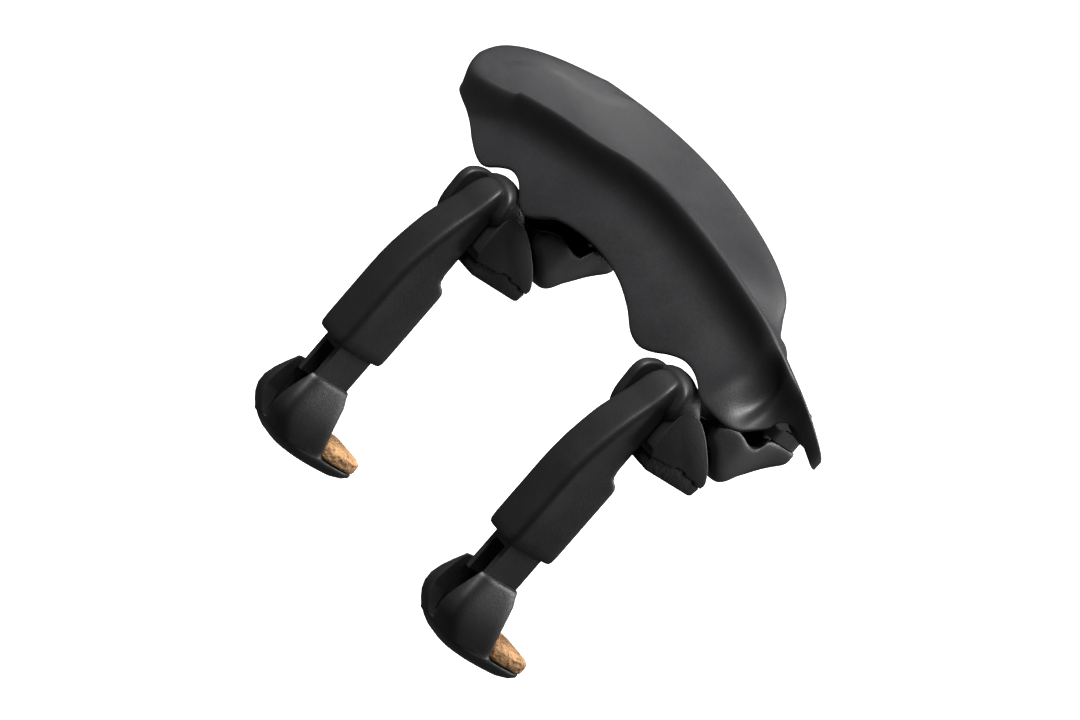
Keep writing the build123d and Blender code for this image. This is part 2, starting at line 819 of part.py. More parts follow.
# near and far edges of the deck in plan
deck_near = [(-67, 19), (-65, 15.5), (-60, 11.2), (-53, 7.6), (-46, 5.2), (-38, 3.7), (-28, 3.4),
             (44, 3.4), (48, 4.0), (50.5, 5.6), (52, 8.5)]
deck_far = [(-67, 24), (-65, 31), (-60, 38), (-52, 44), (-40, 48.4), (-26, 50), (-12, 48.6), (0, 45),
            (11, 38), (20.5, 30), (34, 25.4), (46, 23.4), (50, 22), (52, 19)]
deck_stations = [plate_left, -64, -60, -55, -49, -42, -34, -26, -18, -10, -2, 6, 13, 20, 27, 34, 40, 45,
                 48.5, 50.6, plate_right]
deck_rows = 8
deck_spans = [(0, 6), (6, 12), (12, 20)]
grid_x = [plate_left - 3 + i * (plate_right - plate_left + 6) / 24 for i in range(25)]
grid_z = [10 + i * 30 / 10 for i in range(11)]
apron_face = Face.make_surface_from_array_of_points(
    [[Vector(x, apron_y(x, z), z) for z in grid_z] for x in grid_x],
    tol=0.2,
)

# the deck: cross-sections of one thickness, lofted in spans from the left end to the right
with BuildPart() as deck:
    for first, last in deck_spans:
        for x in deck_stations[first : last + 1]:
            y_low = smooth(deck_near, x)
            y_high = smooth(deck_far, x)
            rows = [y_low + (y_high - y_low) * i / deck_rows for i in range(deck_rows + 1)]
            with BuildSketch(Plane.YZ.offset(x)):
                with BuildLine():
                    top = Spline([(y, deck_height(x, y)) for y in rows])
                    back = Line(top @ 1, (rows[-1], deck_height(x, rows[-1]) - plate_t))
                    under = Spline([(y, deck_height(x, y) - plate_t) for y in reversed(rows)])
                    Line(under @ 1, top @ 0)
                make_face()
        loft()

# front outline of the apron below the near ridge
with BuildPart() as apron:
    with BuildSketch(Plane.XZ.offset(10)):
        with BuildLine():
            top = Polyline((-64.5, 20.3), (-64.5, 24.2), (-49.0, 26.2), (-34.0, 30.8), (-18.0, 34.3),
                           (5.0, 35.4), (27.0, 33.6), (38.0, 32.0), (46.0, 29.8), (51.0, 26.6), (51.0, 20.5))
            lobe = Spline([top @ 1, (49.5, 17.2), (45.5, 16.2), (40.0, 16.0)],
                          tangents=[(-0.2, -1), (-1, 0.1)])
            notch = ThreePointArc(lobe @ 1, (clamp_spacing / 2 + 1.5, 18.6), (22.0, 16.2))
            cusp = ThreePointArc(notch @ 1, (19.0, 14.2), (16.5, 15.5))
            arch = Spline([cusp @ 1, (11.0, 18.0), (-1.8, 20.3), (-15.6, 18.4), (-19.5, 15.8)],
                          tangents=[(-0.6, 1), (-0.6, -1)])
            left_cusp = ThreePointArc(arch @ 1, (-21.6, 14.7), (-24.0, 16.2))
            left_notch = ThreePointArc(left_cusp @ 1, (-clamp_spacing / 2 - 0.8, 18.6), (-38.0, 15.6))
            Spline([left_notch @ 1, (-46.0, 16.3), (-53.0, 18.0), top @ 0], tangents=[(-1, 0), (-1, 0.2)])
        make_face()
    extrude(amount=-60)
    add(Solid.extrude(apron_face, Vector(0, apron_t, 0)), mode=Mode.INTERSECT)
    # side wall under the right-hand end of the ridge
    with BuildSketch(Plane.YZ.offset(plate_right - wall_inset - wall_t)):
        with BuildLine():
            Polyline((2.2, 17.9), (2.2, 26.4), (10.0, 24.0), (18.0, 20.2), (18.0, 19.2), (15.0, 19.6),
                     (10.0, 20.0), (7.0, 19.4), close=True)
        make_face()
    extrude(amount=wall_t)

with BuildPart() as chin_plate:
    add(apron.part)
    add(deck.part)
    # hinge lugs under the ridge
    for cx in sides.values():
        lug_rise = deck_height(cx, hinge_y) - plate_t / 2 - hinge_z
        for lug_x in (cx - eye_w / 2 - body_gap - lug_t, cx + eye_w / 2 + body_gap):
            with BuildSketch(Plane.YZ.offset(lug_x)):
                with Locations((hinge_y, hinge_z)):
                    Circle(lug_r)
                with Locations((hinge_y, hinge_z)):
                    Rectangle(2 * lug_r, lug_rise, align=(Align.CENTER, Align.MIN))
            extrude(amount=lug_t)
        with BuildSketch(Plane.YZ.offset(cx - eye_w)):
            with Locations((hinge_y, hinge_z)):
                Circle(hinge_pin_r)
        extrude(amount=2 * eye_w, mode=Mode.SUBTRACT)
    # boss that carries the thrust disc
    with BuildSketch(Plane.XY.offset(pad_disc_bottom + pad_disc_t)):
        with Locations((0, jack_y)):
            Circle(pad_disc_r + 0.8)
    extrude(amount=1.6)
    with BuildSketch(Plane.XY.offset(pad_disc_bottom + pad_disc_t)):
        with Locations((0, jack_y)):
            Circle(pad_disc_r)
    extrude(amount=-4, mode=Mode.SUBTRACT)
save(chin_plate, "chin_plate")
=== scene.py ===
"""Looks of a centre-mounted violin chin rest, built around its packed construction model."""

import json
import math

import bmesh
import bpy
from bpy.props import FloatProperty, FloatVectorProperty, PointerProperty
from mathutils import Matrix, Vector, noise


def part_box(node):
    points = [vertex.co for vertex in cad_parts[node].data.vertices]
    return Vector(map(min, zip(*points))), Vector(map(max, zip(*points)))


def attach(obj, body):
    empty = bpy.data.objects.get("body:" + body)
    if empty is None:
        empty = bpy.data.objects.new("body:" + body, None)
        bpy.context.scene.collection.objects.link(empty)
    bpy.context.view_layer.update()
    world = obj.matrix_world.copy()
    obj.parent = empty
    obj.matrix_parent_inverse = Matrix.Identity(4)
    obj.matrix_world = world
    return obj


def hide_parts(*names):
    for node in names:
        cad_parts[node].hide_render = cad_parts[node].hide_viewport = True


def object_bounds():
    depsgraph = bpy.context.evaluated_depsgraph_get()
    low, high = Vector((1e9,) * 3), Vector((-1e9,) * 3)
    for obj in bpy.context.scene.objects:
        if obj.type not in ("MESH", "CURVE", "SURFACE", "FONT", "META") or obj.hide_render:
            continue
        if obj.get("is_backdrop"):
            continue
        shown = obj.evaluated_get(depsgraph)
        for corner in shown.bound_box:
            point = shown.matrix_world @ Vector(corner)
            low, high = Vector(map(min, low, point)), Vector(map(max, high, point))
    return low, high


bl_info = {
    "name": "Violin chin rest looks",
    "version": (1, 0, 0),
    "blender": (4, 5, 0),
    "location": "View3D > Sidebar > Chin rest",
    "description": "Models and finishes the chin rest's plate, clamp legs and feet",
    "category": "Object",
}

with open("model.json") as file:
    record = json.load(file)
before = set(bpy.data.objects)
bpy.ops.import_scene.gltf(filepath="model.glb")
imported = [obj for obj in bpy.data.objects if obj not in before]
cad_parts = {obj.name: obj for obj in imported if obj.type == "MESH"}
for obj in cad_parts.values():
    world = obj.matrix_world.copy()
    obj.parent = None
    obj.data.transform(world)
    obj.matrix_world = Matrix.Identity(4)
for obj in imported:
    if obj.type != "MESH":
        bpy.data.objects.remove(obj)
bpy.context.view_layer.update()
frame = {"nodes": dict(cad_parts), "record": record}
MM = 0.001
MERGE_GAP = 1e-7  # metres under which two vertices are one
RING_POINTS = 56  # points in one ring of a leg


def joint_at(name):
    """Rest position of one of the frame's joints, in metres."""
    for joint in frame["record"]["behaviour"]["joints"]:
        if joint["name"] == name:
            return joint.get("pos_m")
    raise ValueError(f"no joint called {name}")


# spindle axis of each clamp, in millimetres
CLAMP_X = {side: joint_at(f"{side}_spindle_turn")[0] / MM for side in ("left", "right")}
HINGE_Y = joint_at("plate_tilt")[1] / MM
HINGE_Z = joint_at("plate_tilt")[2] / MM


# ------------------------------------------------------------------ curves and meshes
def ease_table(table, x):
    """Value at x of a smooth curve through (x, value) points, flat outside them."""
    if x <= table[0][0]:
        return table[0][1]
    for i in range(len(table) - 1):
        x0, y0 = table[i]
        x1, y1 = table[i + 1]
        if x > x1:
            continue
        before = table[max(i - 1, 0)]
        after = table[min(i + 2, len(table) - 1)]
        width = x1 - x0
        start = (y1 - before[1]) / (x1 - before[0]) * width
        end = (after[1] - y0) / (after[0] - x0) * width
        t = (x - x0) / width
        rise = y1 - y0
        return y0 + start * t + (3 * rise - 2 * start - end) * t**2 + (start + end - 2 * rise) * t**3
    return table[-1][1]


def ease(share):
    """Smooth step from 0 to 1."""
    share = min(max(share, 0.0), 1.0)
    return share * share * (3 - 2 * share)


def through(points, count):
    """Points evenly spaced along a smooth curve through the given 2-D points."""
    pts = [Vector(p) for p in points]
    per_span = 24
    dense = []
    for i in range(len(pts) - 1):
        p0, p1, p2, p3 = (pts[min(max(i + k, 0), len(pts) - 1)] for k in (-1, 0, 1, 2))
        for step in range(per_span):
            t = step / per_span
            dense.append(
                0.5
                * (
                    2 * p1
                    + (p2 - p0) * t
                    + (2 * p0 - 5 * p1 + 4 * p2 - p3) * t**2
                    + (3 * p1 - p0 - 3 * p2 + p3) * t**3
                )
            )
    dense.append(pts[-1])
    lengths = [0.0]
    for a, b in zip(dense, dense[1:]):
        lengths.append(lengths[-1] + (b - a).length)
    result = []
    k = 0
    for i in range(count):
        goal = lengths[-1] * i / (count - 1)
        while k < len(lengths) - 2 and lengths[k + 1] < goal:
            k += 1
        span = lengths[k + 1] - lengths[k]
        result.append(dense[k].lerp(dense[k + 1], (goal - lengths[k]) / span if span else 0.0))
    return result


def new_piece(name, verts, faces, body, node=None, smooth_angle=40):
    """A mesh object from millimetre points, riding on a body."""
    mesh = bpy.data.meshes.new(name)
    mesh.from_pydata([Vector(v) * MM for v in verts], [], faces)
    build = bmesh.new()
    build.from_mesh(mesh)
    bmesh.ops.remove_doubles(build, verts=build.verts, dist=MERGE_GAP)
    bmesh.ops.recalc_face_normals(build, faces=build.faces)
    build.to_mesh(mesh)
    build.free()
    mesh.shade_smooth()
    mesh.set_sharp_from_angle(angle=math.radians(smooth_angle))
    piece = bpy.data.objects.new(name, mesh)
    bpy.context.scene.collection.objects.link(piece)
    if body:
        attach(piece, body)
    if node:
        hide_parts(node)
    return piece


def ring_faces(ring_count, ring_size):
    """Faces of a tube made of rings, with its ends closed."""
    faces = []
    for i in range(ring_count - 1):
        for j in range(ring_size):
            k = (j + 1) % ring_size
            a = i * ring_size
            b = a + ring_size
            faces.append((a + j, a + k, b + k, b + j))
    start = (ring_count - 1) * ring_size
    faces.append(tuple(range(ring_size)))
    faces.append(tuple(start + j for j in reversed(range(ring_size))))
    return faces


def soft_box_ring(x_mid, half_x, y0, y1, z, power, count=RING_POINTS):
    """A level ring between a rectangle and an ellipse in plan; a higher power is squarer."""
    mid = (y0 + y1) / 2
    half_y = (y1 - y0) / 2
    ring = []
    for i in range(count):
        angle = 2 * math.pi * i / count
        c, s = math.cos(angle), math.sin(angle)
        x = half_x * math.copysign(abs(c) ** (2 / power), c)
        y = half_y * math.copysign(abs(s) ** (2 / power), s)
        ring.append((x_mid + x, mid + y, z))
    return ring


def bevel(piece, width, segments, angle=35):
    """Adds a bevel that rounds the piece's sharp edges."""
    modifier = piece.modifiers.new("edge_rounding", "BEVEL")
    modifier.width = width * MM
    modifier.segments = segments
    modifier.limit_method = "ANGLE"
    modifier.angle_limit = math.radians(angle)


def subdivide(piece, levels=1):
    """Adds a subdivision surface that rounds the piece's form."""
    modifier = piece.modifiers.new("rounding", "SUBSURF")
    modifier.levels = levels


def settle(piece, smooth_angle=40):
    """Applies the piece's modifiers to its mesh."""
    graph = bpy.context.evaluated_depsgraph_get()
    mesh = bpy.data.meshes.new_from_object(piece.evaluated_get(graph), depsgraph=graph)
    old = piece.data
    piece.modifiers.clear()
    piece.data = mesh
    mesh.name = piece.name
    bpy.data.meshes.remove(old)
    mesh.shade_smooth()
    mesh.set_sharp_from_angle(angle=math.radians(smooth_angle))


def prism(name, outline, x0, x1, body, slot, node, round_by, segments):
    """An outline in the YZ plane, extruded along X and rounded at its edges."""
    verts = [(x, y, z) for x in (x0, x1) for y, z in outline]
    piece = new_piece(name, verts, ring_faces(2, len(outline)), body, node)
    bevel(piece, round_by, segments)
    settle(piece)
    dress(piece, slot)


def cut(piece, verts, faces, smooth_angle):
    """Takes a closed shape away from the piece."""
    tool = new_piece("cutter", verts, faces, None)
    modifier = piece.modifiers.new("cut", "BOOLEAN")
    modifier.operation = "DIFFERENCE"
    modifier.solver = "EXACT"
    modifier.object = tool
    bpy.context.view_layer.update()
    settle(piece, smooth_angle)
    mesh = tool.data
    bpy.data.objects.remove(tool)
    bpy.data.meshes.remove(mesh)


# ------------------------------------------------------------------ materials
# most of a noise texture's values lie between these
NOISE_LOW, NOISE_HIGH = 0.3, 0.7
PAD_COLOUR = (0.012, 0.012, 0.012)
STEEL_COLOUR = (0.42, 0.42, 0.44)
BRASS_COLOUR = (0.68, 0.48, 0.2)
CORK_FLECK = (0.09, 0.035, 0.012)


def shade(colour, factor):
    """A colour made darker or paler, kept in range."""
    return tuple(min(c * factor, 1) for c in colour)


def base_material(name):
    """A new node material: its tree, its shader and its object coordinates."""
    material = bpy.data.materials.new(name)
    material.use_nodes = True
    tree = material.node_tree
    shader = tree.nodes["Principled BSDF"]
    place = tree.nodes.new("ShaderNodeTexCoord")
    return material, tree, shader, place.outputs["Object"]


def noise_node(tree, place, scale, detail=4.0, roughness=0.55, stretch=None):
    """Noise in metres: scale is features per metre."""
    node = tree.nodes.new("ShaderNodeTexNoise")
    node.inputs["Scale"].default_value = scale
    node.inputs["Detail"].default_value = detail
    node.inputs["Roughness"].default_value = roughness
    if stretch:
        mapping = tree.nodes.new("ShaderNodeMapping")
        mapping.inputs["Scale"].default_value = stretch
        tree.links.new(place, mapping.inputs["Vector"])
        place = mapping.outputs["Vector"]
    tree.links.new(place, node.inputs["Vector"])
    return node.outputs["Fac"]


def ramp(tree, factor, stops):
    """A colour ramp with the given (position, colour) stops."""
    node = tree.nodes.new("ShaderNodeValToRGB")
    node.color_ramp.elements[0].position = stops[0][0]
    node.color_ramp.elements[0].color = (*stops[0][1], 1)
    node.color_ramp.elements[1].position = stops[-1][0]
    node.color_ramp.elements[1].color = (*stops[-1][1], 1)
    for position, colour in stops[1:-1]:
        element = node.color_ramp.elements.new(position)
        element.color = (*colour, 1)
    tree.links.new(factor, node.inputs["Fac"])
    return node.outputs["Color"]


def spread(tree, factor, low, high):
    """Maps a noise value onto low to high."""
    node = tree.nodes.new("ShaderNodeMapRange")
    node.inputs["From Min"].default_value = NOISE_LOW
    node.inputs["From Max"].default_value = NOISE_HIGH
    node.inputs["To Min"].default_value = low
    node.inputs["To Max"].default_value = high
    tree.links.new(factor, node.inputs["Value"])
    return node.outputs["Result"]


def mix_colour(tree, factor, a, b):
    """Mixes two colours, each a socket or a plain colour, by a factor's socket."""
    node = tree.nodes.new("ShaderNodeMix")
    node.data_type = "RGBA"
    for value, socket in ((factor, 0), (a, 6), (b, 7)):
        if isinstance(value, tuple):
            node.inputs[socket].default_value = (*value, 1)
        else:
            tree.links.new(value, node.inputs[socket])
    return node.outputs[2]


def bump(tree, shader, height, distance, strength=1.0, under=None):
    """Bumps the shader's normal; distance is the depth in metres of a height of 1."""
    node = tree.nodes.new("ShaderNodeBump")
    node.inputs["Strength"].default_value = strength
    node.inputs["Distance"].default_value = distance
    tree.links.new(height, node.inputs["Height"])
    if under is not None:
        tree.links.new(under, node.inputs["Normal"])
    tree.links.new(node.outputs["Normal"], shader.inputs["Normal"])
    return node.outputs["Normal"]


def edge_light(tree, colour, worn):
    """Lightens a colour along convex edges, as handling does."""
    geometry = tree.nodes.new("ShaderNodeNewGeometry")
    edges = ramp(tree, geometry.outputs["Pointiness"], [(0.53, (0, 0, 0)), (0.6, (1, 1, 1))])
    return mix_colour(tree, edges, colour, worn)


def moulded_plastic(name, colour, rough, grain):
    """Moulded black plastic with a spark-eroded grain, faint marks and paler worn edges."""
    grain_depth = 0.00003
    material, tree, shader, place = base_material(name)
    cloud = noise_node(tree, place, 60.0, 3.0)
    tone = ramp(tree, cloud, [(NOISE_LOW, shade(colour, 0.82)), (NOISE_HIGH, shade(colour, 1.22))])
    fleck = noise_node(tree, place, 1500.0, 2.0)
    tone = mix_colour(tree, spread(tree, fleck, 0.0, 0.35), tone, shade(colour, 1.7))
    tree.links.new(edge_light(tree, tone, shade(colour, 2.3)), shader.inputs["Base Color"])
    smear = noise_node(tree, place, 130.0, 5.0, 0.65)
    tree.links.new(spread(tree, smear, rough - 0.05, rough + 0.07), shader.inputs["Roughness"])
    fine = noise_node(tree, place, grain, 3.0, 0.7)
    first = bump(tree, shader, fine, grain_depth)
    bump(tree, shader, noise_node(tree, place, 220.0, 2.0), grain_depth * 1.5, 0.6, first)
    shader.inputs["Specular IOR Level"].default_value = 0.5
    return material


def cork_material(name, colour):
    """Agglomerated cork: pale granules, darker skins and deep flecks."""
    material, tree, shader, place = base_material(name)
    cells = tree.nodes.new("ShaderNodeTexVoronoi")
    cells.inputs["Scale"].default_value = 1700.0
    tree.links.new(place, cells.inputs["Vector"])
    value = tree.nodes.new("ShaderNodeSeparateColor")
    tree.links.new(cells.outputs["Color"], value.inputs["Color"])
    granules = [(0.0, shade(colour, 0.6)), (0.28, colour), (1.0, shade(colour, 1.45))]
    tone = ramp(tree, value.outputs["Red"], granules)
    fleck = noise_node(tree, place, 1300.0, 5.0, 0.7)
    spots = ramp(tree, fleck, [(0.56, (0, 0, 0)), (0.66, (1, 1, 1))])
    tone = mix_colour(tree, spots, tone, CORK_FLECK)
    tree.links.new(tone, shader.inputs["Base Color"])
    tree.links.new(spread(tree, fleck, 0.75, 0.95), shader.inputs["Roughness"])
    first = bump(tree, shader, cells.outputs["Distance"], 0.00025, 0.8)
    bump(tree, shader, fleck, 0.00025, 0.8, first)
    return material


def pad_material(name, colour):
    """Rubber-cork pad: near black, granular and dull."""
    material, tree, shader, place = base_material(name)
    grains = noise_node(tree, place, 1100.0, 4.0, 0.7)
    tone = ramp(tree, grains, [(0.35, shade(colour, 0.5)), (0.7, shade(colour, 1.9))])
    tree.links.new(tone, shader.inputs["Base Color"])
    tree.links.new(spread(tree, grains, 0.8, 0.95), shader.inputs["Roughness"])
    bump(tree, shader, grains, 0.0002, 0.9)
    return material


def turned_metal(name, colour, rough):
    """Machined metal with fine turning lines and slight tarnish."""
    material, tree, shader, place = base_material(name)
    lines = noise_node(tree, place, 900.0, 2.0, 0.5, (0.25, 0.25, 6.0))
    cloud = noise_node(tree, place, 350.0, 4.0)
    tone = ramp(tree, cloud, [(NOISE_LOW, shade(colour, 0.75)), (NOISE_HIGH, colour)])
    tree.links.new(edge_light(tree, tone, shade(colour, 1.3)), shader.inputs["Base Color"])
    tree.links.new(spread(tree, lines, rough - 0.08, rough + 0.1), shader.inputs["Roughness"])
    bump(tree, shader, lines, 0.00002, 0.7)
    shader.inputs["Metallic"].default_value = 1.0
    return material


MATERIALS = {}


def finish_of(slot):
    """The material of one of the record's slots; all are made at the first call."""
    if not MATERIALS:
        looks = bpy.context.scene.chin_rest_looks
        plate, leg, cork = (tuple(c) for c in (looks.plate_colour, looks.leg_colour, looks.cork_colour))
        MATERIALS.update(
            plate_plastic=moulded_plastic("plate_plastic", plate, looks.plate_rough, 2600.0),
            leg_plastic=moulded_plastic("leg_plastic", leg, looks.leg_rough, 2200.0),
            cork=cork_material("cork", cork),
            pad_rubber=pad_material("pad_rubber", PAD_COLOUR),
            steel=turned_metal("steel", STEEL_COLOUR, 0.34),
            brass=turned_metal("brass", BRASS_COLOUR, 0.3),
        )
    return MATERIALS[slot]


def dress(piece, slot):
    """Gives a piece the material of its slot."""
    piece.data.materials.clear()
    piece.data.materials.append(finish_of(slot))


# ------------------------------------------------------------------ chin plate
# millimetres: ridge height along X, rim height round the cup by angle, slope of the wing along X
CREST = [(-76, 23.5), (-66, 25.0), (-60, 25.6), (-49, 27.6), (-34, 32.2), (-18, 35.7), (-6, 36.6), (5, 36.7),
         (16, 36.0), (27, 34.8), (38, 33.2), (46, 31), (58, 27)]
RIM = [(-180, 32.8), (-163, 30.0), (-150, 26.8), (-140, 25.3), (-127, 26.8), (-115, 29.6), (-90, 34.0),
       (-60, 36.3), (-35, 34.5), (0, 30.0), (34, 27.6), (46, 29.4), (54, 32.0), (60, 33.4), (72, 35.2),
       (88, 36.6), (102, 37.7), (115, 38.0), (130, 37.7), (150, 36.4), (171, 33.9), (180, 32.8)]
WING_FALL = [(-76, 0.2), (18, 0.28), (30, 0.4), (41, 0.57), (50, 0.45), (58, 0.36)]
WING_CURL = 0.006
WING_START_Y, WING_START_ROUND = 5.0, 2.0
CUP_X, CUP_Y = -25.0, 26.0
CUP_A, CUP_B = 42.0, 24.0
CUP_FLOOR = 28.0
CUP_POWER = 2.4
RIM_RISE = 0.4  # share of the cup's depth that the deck can still rise outside the rim
PLATE_T = 2.6
# plan of the plate's four edges, as (x, y)
NEAR_EDGE = [(-67.0, 13.4), (-62.5, 9.2), (-55, 6.4), (-46, 4.4), (-38, 3.5), (-28, 3.1), (-10, 3.0),
             (10, 3.0), (30, 3.0), (42, 3.1), (47.2, 3.7), (50.4, 5.8)]
RIGHT_EDGE = [(50.4, 5.8), (51.7, 9.0), (52.2, 14), (52.3, 18.5), (50.8, 21.2)]
LEFT_EDGE = [(-67.0, 13.4), (-69.2, 18.5), (-69.6, 25), (-67.3, 32.5), (-61.8, 39.2)]
FAR_EDGE = [(-61.6, 39.0), (-54, 44.2), (-44, 48.4), (-33, 50.6), (-22, 50.8), (-10, 49.2), (0, 45.8),
            (10, 39.8), (19, 31.8), (30, 25.6), (41, 22.6), (50.8, 21.2)]
# lower edge of the apron: along X on the near side, along Y on the two ends
LOW_NEAR = [(-67, 21.4), (-64, 20.3), (-60, 19.4), (-53, 18), (-46, 16.4), (-40.5, 15.2), (-37.6, 15.3),
            (-35.2, 17.0), (-32.5, 18.3), (-29.5, 18.2), (-27, 17.1), (-24, 15.4), (-21.6, 14.8),
            (-19.4, 15.8), (-15.6, 18.4), (-8, 20.1), (-1.8, 20.3), (5, 19.4), (11, 17.3), (15.6, 14.9),
            (19, 14.3), (22, 15.2), (25, 17.0), (28.5, 18.3), (32, 18.1), (36, 16.6), (40, 15.8),
            (44, 15.9), (47, 16.8), (48.6, 18.4), (50.4, 20.4)]
LOW_RIGHT = [(5.8, 20.4), (7.6, 22.9), (10.6, 23.0), (14.9, 20.9), (18.5, 19.3), (21.2, 18.9)]
LOW_LEFT = [(13.4, 21.4), (16, 24.2), (18.5, 26.6), (25, 29.4), (32.5, 31.8), (39.2, 33.2)]
MIN_SKIRT = 0.6  # least height of the apron
# how far the apron's face stands in, by depth under the ridge, and the height under which that fades
GROOVE = [(0, -0.3), (1.5, 0.1), (4, 1.9), (6.5, 2.6), (9, 2.0), (12, 0.7), (16, -0.6), (21, -1.6)]
GROOVE_FADE = 9.0
# the rounded ridge and the valley beside it, at the apron's right end
LOBES_FROM_X, LOBE_RIDGE_X, LOBE_VALLEY_X = 20, 39.6, 44.6
DECK_ALONG, DECK_ACROSS = 170, 30
# the apron's rows of points, as shares of its height
SKIRT_DEPTHS = (0.05, 0.11, 0.18, 0.26, 0.35, 0.45, 0.56, 0.67, 0.78, 0.88, 0.95, 1.0)


def cup_reach(x, y):
    """Distance from the cup's middle, 1 at its rim."""
    return math.hypot((x - CUP_X) / CUP_A, (y - CUP_Y) / CUP_B)


def deck_height(x, y):
    """Top of the plate: the cup, blended into the wing that falls away behind the ridge."""
    angle = math.degrees(math.atan2((y - CUP_Y) / CUP_B, (x - CUP_X) / CUP_A))
    reach = cup_reach(x, y)
    rise = reach**CUP_POWER if reach < 1 else 1 + RIM_RISE * math.tanh(reach - 1)
    cup = CUP_FLOOR + (ease_table(RIM, angle) - CUP_FLOOR) * rise
    drop = y - WING_START_Y
    soft = (drop + math.hypot(drop, WING_START_ROUND)) / 2
    wing = ease_table(CREST, x) - (ease_table(WING_FALL, x) + WING_CURL * soft) * soft
    start = 0.85 + 0.14 * ease((y - 12.0) / 12.0)
    share = ease((reach - start) / 0.4) * ease((x - CUP_X) / 25.0)
    return (1 - share) * cup + share * wing


def side_points(edge, shares):
    """Points at the given shares of an edge's length."""
    last = 199
    fine = through(edge, last + 1)
    return [fine[round(share * last)] for share in shares]


def deck_patch():
    """Points and faces of the deck, in rows that crowd towards the ridge at the near edge."""
    near = through(NEAR_EDGE, DECK_ALONG)
    far = through(FAR_EDGE, DECK_ALONG)
    shares = [j / (DECK_ACROSS - 1) for j in range(DECK_ACROSS)]
    shares = [0.55 * s + 0.45 * s * s for s in shares]
    left = side_points(LEFT_EDGE, shares)
    right = side_points(RIGHT_EDGE, shares)
    verts = []
    for j, v in enumerate(shares):
        for i in range(DECK_ALONG):
            u = i / (DECK_ALONG - 1)
            edge = (1 - v) * near[i] + v * far[i] + (1 - u) * left[j] + u * right[j]
            corner = (
                (1 - u) * (1 - v) * near[0] + u * (1 - v) * near[-1] + (1 - u) * v * far[0] + u * v * far[-1]
            )
            p = edge - corner
            verts.append((p.x, p.y, deck_height(p.x, p.y)))
    faces = []
    for j in range(DECK_ACROSS - 1):
        for i in range(DECK_ALONG - 1):
            a = j * DECK_ALONG + i
            faces.append((a, a + 1, a + DECK_ALONG + 1, a + DECK_ALONG))
    return verts, faces


def skirt_inset(x, down, height, near_side):
    """How far the apron's face stands in from the edge, at a depth below it."""
    inset = ease_table(GROOVE, down) * ease(height / GROOVE_FADE)
    if near_side and x > LOBES_FROM_X:
        body = ease(down / 4.0)
        ridge = math.exp(-(((x - LOBE_RIDGE_X + 0.12 * (down - 8)) / 2.8) ** 2))
        valley = math.exp(-(((x - LOBE_VALLEY_X) / 2.2) ** 2))
        inset -= 1.1 * body * ridge
        inset += 1.6 * body * valley * (1 - ease((down - 9) / 6))
    return inset


def plate_mesh():
    """Open skin of the plate: the deck patch with a skirt along its left, near and right edges."""
    verts, faces = deck_patch()
    # border of the deck that carries the skirt, far left round to far right
    border = [j * DECK_ALONG for j in reversed(range(1, DECK_ACROSS))]
    border += list(range(DECK_ALONG))
    border += [j * DECK_ALONG + DECK_ALONG - 1 for j in range(1, DECK_ACROSS)]
    total = len(border)
    first_near = DECK_ACROSS - 1
    last_near = first_near + DECK_ALONG - 1
    previous = border
    for depth in SKIRT_DEPTHS:
        row = []
        for k, index in enumerate(border):
            x, y, z = verts[index]
            ahead = Vector(verts[border[min(k + 3, total - 1)]]).xy
            behind = Vector(verts[border[max(k - 3, 0)]]).xy
            run = (ahead - behind).normalized()
            outward = Vector((run.y, -run.x))
            near_side = first_near <= k <= last_near
            if near_side:
                low = ease_table(LOW_NEAR, x)
            else:
                low = ease_table(LOW_LEFT if k < first_near else LOW_RIGHT, y)
            height = z - min(low, z - MIN_SKIRT)
            down = depth * height
            row.append(len(verts))
            spot = Vector((x, y)) - outward * skirt_inset(x, down, height, near_side)
            verts.append((spot.x, spot.y, z - down))
        for k in range(total - 1):
            faces.append((previous[k], row[k], row[k + 1], previous[k + 1]))
        previous = row
    return verts, faces


def round_crest(plate):
    """Rolls the ridge over softly, more so towards the plate's left end."""
    narrow, extra = 2.2, 4.0
    rounds, narrow_rounds = 26, 5
    build = bmesh.new()
    build.from_mesh(plate.data)
    edge = [Vector(p) for p in through(NEAR_EDGE, 120) + through(LEFT_EDGE, 40) + through(RIGHT_EDGE, 40)]
    crest = []
    for vertex in build.verts:
        spot = vertex.co / MM
        reach = narrow + extra * ease((-34 - spot.x) / 25)
        top = deck_height(spot.x, max(spot.y, 3.0))
        near = min((e - spot.xy).length for e in edge)
        if near < reach and spot.z > top - reach - 1.0 and not vertex.is_boundary:
            crest.append((vertex, reach))
    for turn in range(rounds):
        soft = [v for v, reach in crest if turn < narrow_rounds or reach > 3.6]
        bmesh.ops.smooth_vert(
            build, verts=soft, factor=0.5, use_axis_x=True, use_axis_y=True, use_axis_z=True
        )
    build.to_mesh(plate.data)
    build.free()


def build_moulding():
    """The moulded plate itself, one wall thick throughout."""
    verts, faces = plate_mesh()
    plate = new_piece("chin_plate_moulding", verts, faces, "chin_plate", "chin_plate", 180)
    # the skin faces up, so that its wall grows downwards
    up = sum((p.normal.z for p in plate.data.polygons if abs(p.normal.z) > 0.9), 0.0)
    if up < 0:
        plate.data.flip_normals()
    round_crest(plate)
    wall = plate.modifiers.new("wall", "SOLIDIFY")
    wall.thickness = PLATE_T * MM
    wall.offset = -1
    wall.use_even_offset = True
    wall.use_quality_normals = True
    wall.thickness_clamp = 1.0
    subdivide(plate)
    settle(plate, 180)
    dress(plate, "plate_plastic")


# thickness and eye radius of a hinge lug, its gap to the lift frame's eye, and that eye's half width
LUG_T, LUG_R, LUG_GAP, HINGE_EYE_HALF = 2.4, 2.6, 0.3, 3.5
LUG_UNDER_DECK = 2.0


